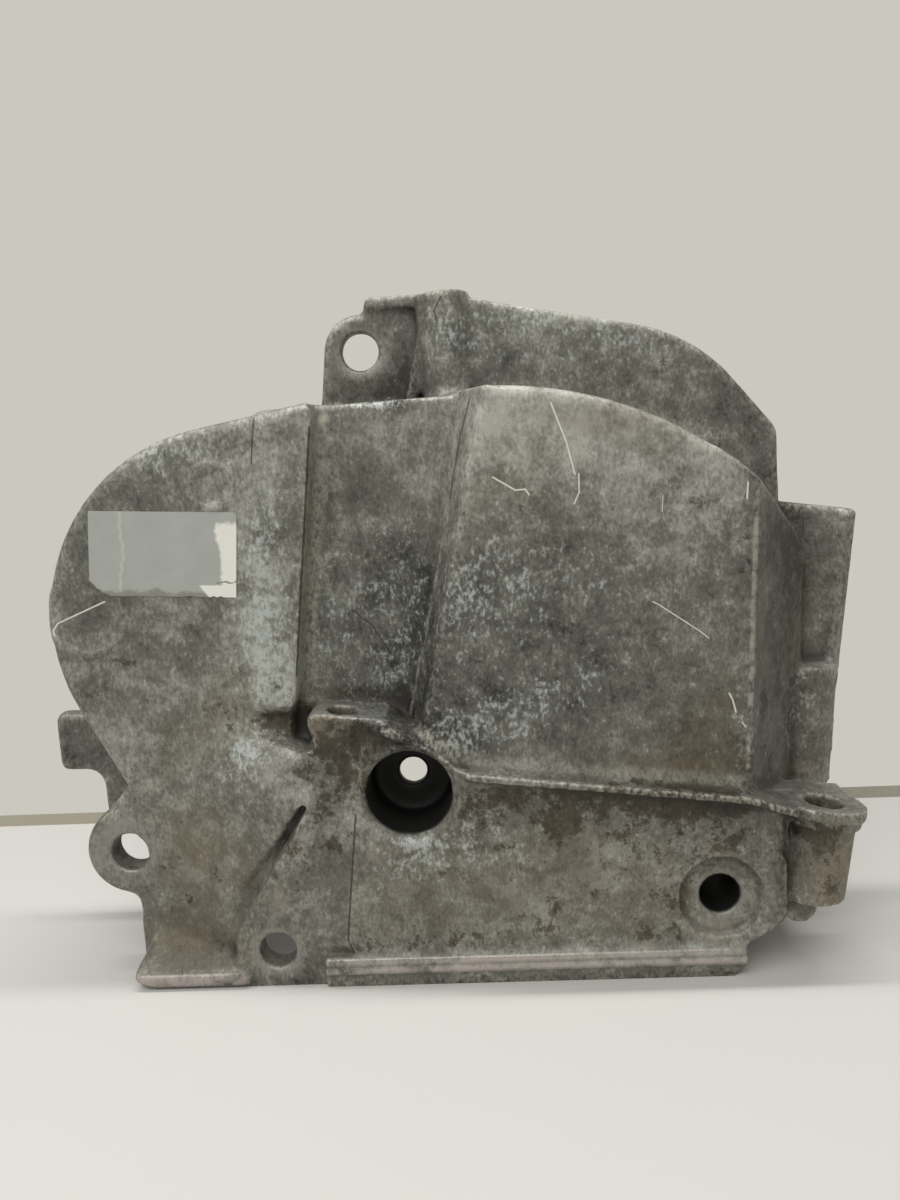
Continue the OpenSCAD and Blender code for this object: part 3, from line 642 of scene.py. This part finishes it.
    # The pale seam, and the bulge's right edge, worn bright with a painted highlight
    seam_and_edge_highlight = where(outside, beside(PALE_SEAM_AND_EDGE_HIGHLIGHT), 1.9, 0.9)
    skin = over(where(seam_and_edge_highlight, clump, 0.38, 0.60, 0.65), skin, "#aeab9e")
    skin = over(where(age["turned"], grain, 0.20, 0.70, 0.75), skin, "#898983")
    # Toe and bead crests: worn bright metal with a painted highlight; they are also made glossier below
    skin = over(where(age["rubbed_and_highlight"], isle, 0.34, 0.56, 0.80), skin, "#b0a7a1")
    # Painted shade: the wells and bores darkened nearly to black inside
    skin = over(age["bore_shade"], skin, "#0e0d0c")
    skin = over(where(outside, beside(DARK_LINES), 1.8, 0.9, 0.78), skin, "#292620")
    skin = over(where(outside, beside(BRIGHT_SCRATCHES), 1.7, 0.9, 0.92), skin, "#dcd9cf")
    tree.links.new(skin, shader.inputs["Base Color"])

    rough = sum_of((0.25, grain), (0.25, mottle), (-0.14, age["edge"]), (-0.12, age["turned"]),
                   (-0.30, age["rubbed_and_highlight"]))
    rough = add(tree, "Math", {0: rough, 1: 0.36}, operation="ADD")
    tree.links.new(rough, shader.inputs["Roughness"])
    shader.inputs["Metallic"].default_value = 0.35
    height = sum_of((0.5, grain), (0.8, fleck), (0.8, mottle))
    bump = add(tree, "Bump", {"Height": height, "Distance": 0.12 * MM, "Strength": 0.7})
    tree.links.new(bump, shader.inputs["Normal"])
    return material


def torn(count, width, seed):
    """An uneven line of about unit height, smoothed over a few steps to each side."""
    line = np.random.default_rng(seed).normal(size=count + 2 * width)
    return np.convolve(line, np.hanning(2 * width + 1), "valid") / math.sqrt(width)


def label_outline(along):
    """Lowest edge of the film at a place along it: torn at its left corner and ragged at the bottom."""
    tear = np.interp(along, TEAR_ALONG, TEAR_HEIGHT)
    return -LABEL_SIZE[1] + tear + np.maximum(torn(len(along), 3, 11) * RAGGED_EDGE, 0)


def make_label(casting):
    """The stuck-on film: a fine grid laid on the lobe's face, creased near its left end."""
    width, height = LABEL_SIZE
    columns = round(width / LABEL_STEP)
    rows = round(height / LABEL_STEP)
    along = np.linspace(0, width, columns + 1)
    down = np.linspace(0, 1, rows + 1)
    into_corner = np.maximum(along - width + LABEL_ROUND, 0)
    top = np.sqrt(np.maximum(LABEL_ROUND ** 2 - into_corner ** 2, 0)) - LABEL_ROUND
    low = label_outline(along)
    u = np.repeat(along[None, :], rows + 1, 0)
    w = top[None, :] + down[:, None] * (low - top)[None, :]
    turned = np.stack([u * math.cos(LABEL_TURN) + w * (LABEL_SHEAR - math.sin(LABEL_TURN)),
                       u * math.sin(LABEL_TURN) + w * math.cos(LABEL_TURN)], -1)
    skin = BVHTree.FromObject(casting, bpy.context.evaluated_depsgraph_get())
    fold_at = FOLD_AT + 0.35 * np.sin(w * 0.5) + 0.15 * np.sin(w * 2.3)
    fold = np.exp(-((u - fold_at) / FOLD_WIDTH) ** 2)
    points = []
    for (across, up), bent in zip(turned.reshape(-1, 2), fold.ravel()):
        x, z = LABEL_CORNER[0] + across, LABEL_CORNER[1] + up
        hit = skin.ray_cast(Vector((x * MM, -1.0, z * MM)), Vector((0, 1, 0)))[0]
        points.append((x * MM, hit.y - (LABEL_LIFT + FOLD_HEIGHT * bent) * MM, z * MM))
    index = np.arange((rows + 1) * (columns + 1)).reshape(rows + 1, columns + 1)
    faces = np.stack([index[1:, :-1], index[1:, 1:], index[:-1, 1:], index[:-1, :-1]], -1).reshape(-1, 4)
    mesh = bpy.data.meshes.new("label_film")
    mesh.from_pydata(points, [], faces.tolist())
    mesh.update()

    worn = smooth((u - width + WORN_END - 1.6 * smooth((-w - 3) / 8)) / 2.4) * smooth((-w - 0.4) / 4)
    strip_end, strip_up = WHITE_STRIP
    strip = smooth((u - width + strip_end + 0.9 * (w + height - 2.4)) / 1.2)
    strip = strip * smooth((-w - height + strip_up) / 0.5)
    crack_at = -height + CRACK_UP + 0.2 * torn(columns + 1, 5, 3)[None, :]
    crack = np.exp(-((w - crack_at) / CRACK_WIDTH) ** 2) * smooth((u - (width - CRACK_LENGTH)) / 1.0)
    dirt = smooth((-w - height + DIRT_UP + 0.5 * torn(columns + 1, 8, 2)[None, :]) / 3.6) * (1 - strip)
    worn = np.maximum(worn, strip)
    for name, values in (("worn", worn), ("crack", crack), ("dirt", dirt), ("fold", fold)):
        set_attribute(mesh, name, values.ravel())
    piece = bpy.data.objects.new("label_film", mesh)
    bpy.context.collection.objects.link(piece)
    thick = piece.modifiers.new("thick", "SOLIDIFY")
    thick.thickness = LABEL_THICKNESS * MM
    thick.offset = 1.0
    mesh = applied(piece)
    mesh.materials.clear()
    mesh.materials.append(polyester_film())
    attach(piece, "root")
    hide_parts("label")


def polyester_film():
    """Printed polyester film, aged: a grey satin face, worn through to its white core at the right end."""
    material, tree, shader = new_material("worn_polyester_film")
    place = add(tree, "TexCoord", {}, out="Object")
    dust = add(tree, "TexNoise", {"Vector": place, "Scale": 1 / (1.2 * MM), "Detail": 5, "Roughness": 0.7})
    stain = add(tree, "TexNoise", {"Vector": place, "Scale": 1 / (6 * MM), "Detail": 4, "Roughness": 0.6})
    wear = {name: add(tree, "Attribute", {}, out="Fac", attribute_name=name)
            for name in ("worn", "crack", "dirt", "fold")}

    def over(share, below, colour):
        """A coat of a colour on what lies below."""
        return add(tree, "Mix", {0: share, 6: below, 7: linear(colour)}, out=2, data_type="RGBA")

    def share(socket, grain, low, high, most):
        """How much of a coat shows, broken up by a grain."""
        broken = add(tree, "Math", {0: socket, 1: grain}, operation="ADD")
        return add(tree, "MapRange", {0: broken, 1: low, 2: high, 3: 0.0, 4: most},
                   interpolation_type="SMOOTHSTEP")

    face = add(tree, "ValToRGB", {0: stain}, stops=((0.30, "#9ea19a"), (0.70, "#a6a8a1")))
    face = over(share(dust, 0.0, 0.58, 0.72, 0.25), face, "#7f7f74")
    face = over(share(wear["fold"], dust, 0.85, 1.3, 0.6), face, "#bdb9ad")
    face = over(share(wear["worn"], dust, 0.80, 1.25, 0.95), face, "#e3e1d7")
    face = over(share(wear["dirt"], dust, 0.80, 1.25, 0.70), face, "#736e62")
    face = over(share(wear["crack"], dust, 0.8, 1.2, 0.8), face, "#4a443b")
    tree.links.new(face, shader.inputs["Base Color"])
    shader.inputs["Roughness"].default_value = 0.48
    bump = add(tree, "Bump", {"Height": dust, "Distance": 0.05 * MM, "Strength": 0.5})
    tree.links.new(bump, shader.inputs["Normal"])
    return material


def plane(name, corners, colour):
    """A flat stage piece in matt paint, which mirrors nothing."""
    mesh = bpy.data.meshes.new(name)
    mesh.from_pydata(corners, [], [tuple(range(len(corners)))])
    piece = bpy.data.objects.new(name, mesh)
    bpy.context.collection.objects.link(piece)
    material, _, shader = new_material(name + "_paint")
    shader.inputs["Base Color"].default_value = linear(colour)
    shader.inputs["Roughness"].default_value = 0.8
    mesh.materials.append(material)


def softbox(name, place, aim, size, power):
    """A soft rectangular lamp at a place, turned to what it aims at."""
    lamp = bpy.data.lights.new(name, "AREA")
    lamp.shape = "RECTANGLE"
    lamp.size, lamp.size_y = size
    lamp.energy = power
    piece = bpy.data.objects.new(name, lamp)
    piece.location = place
    piece.rotation_euler = (Vector(aim) - piece.location).to_track_quat("-Z", "Y").to_euler()
    bpy.context.collection.objects.link(piece)


def make_stage():
    """A pale shelf under the cover, which ends behind it, with a low dark lip at its end painted as the
    shade where shelf and room meet, and the pale room beyond.
    """
    left, right, end, lip = -SHELF_REACH, SHELF_REACH, SHELF_END, LIP_HEIGHT
    plane("floor", [(left, left, 0), (right, left, 0), (right, end, 0), (left, end, 0)], "#c6c4be")
    # A low dark lip at the shelf's back edge: painted shade where the shelf meets the room
    plane("painted_shade_lip", [(left, end, 0), (right, end, 0), (right, end, lip), (left, end, lip)], "#a8a293")
    world = bpy.data.worlds.new("pale_room")
    bpy.context.scene.world = world
    world.use_nodes = True
    tree = world.node_tree
    tree.nodes.clear()
    camera, glossy, through = (add(tree, "LightPath", {}, out=ray)
                               for ray in ("Is Camera Ray", "Is Glossy Ray", "Is Transmission Ray"))
    mirrored = add(tree, "Math", {0: glossy, 1: through}, operation="ADD")
    seen = add(tree, "Math", {0: camera, 1: mirrored}, operation="ADD", use_clamp=True)
    room = add(tree, "Background", {"Color": linear("#f3f3f1"), "Strength": ROOM_LIGHT})
    wall = add(tree, "Background", {"Color": linear("#cbc9bf"), "Strength": 1.0})
    mixed = add(tree, "MixShader", {0: seen, 1: room, 2: wall})
    add(tree, "OutputWorld", {"Surface": mixed})
    softbox("front_softbox", place=(-0.20, -0.42, 0.60), aim=(0, 0, 0.06), size=(0.9, 0.5), power=4.0)
    softbox("ceiling_strip", place=(0, 0.012, 0.60), aim=(0, 0.012, 0), size=(0.6, 0.03), power=2.4)


def make_camera():
    """The photograph's eye: a little above the cover and turned slightly to its left, with a slight roll."""
    pitch, yaw, roll = (math.radians(angle) for angle in EYE_TURN)
    level = Vector((math.cos(yaw), math.sin(yaw), 0))
    ahead = Vector((-math.sin(yaw) * math.cos(pitch), math.cos(yaw) * math.cos(pitch), -math.sin(pitch)))
    right = math.cos(roll) * level + math.sin(roll) * ahead.cross(level)
    up = right.cross(ahead)
    lens = bpy.data.cameras.new("camera")
    lens.sensor_width = SENSOR
    lens.lens = SENSOR * FOCAL_PIXELS / PHOTO_HEIGHT
    lens.clip_start = 0.01
    eye = bpy.data.objects.new("camera", lens)
    turn = Matrix((right, up, -ahead)).transposed()
    eye.matrix_world = Matrix.Translation(EYE) @ turn.to_4x4()
    bpy.context.collection.objects.link(eye)
    bpy.context.scene.camera = eye


make_camera()
make_stage()
make_label(make_casting())
bpy.context.scene.view_settings.view_transform = "Standard"
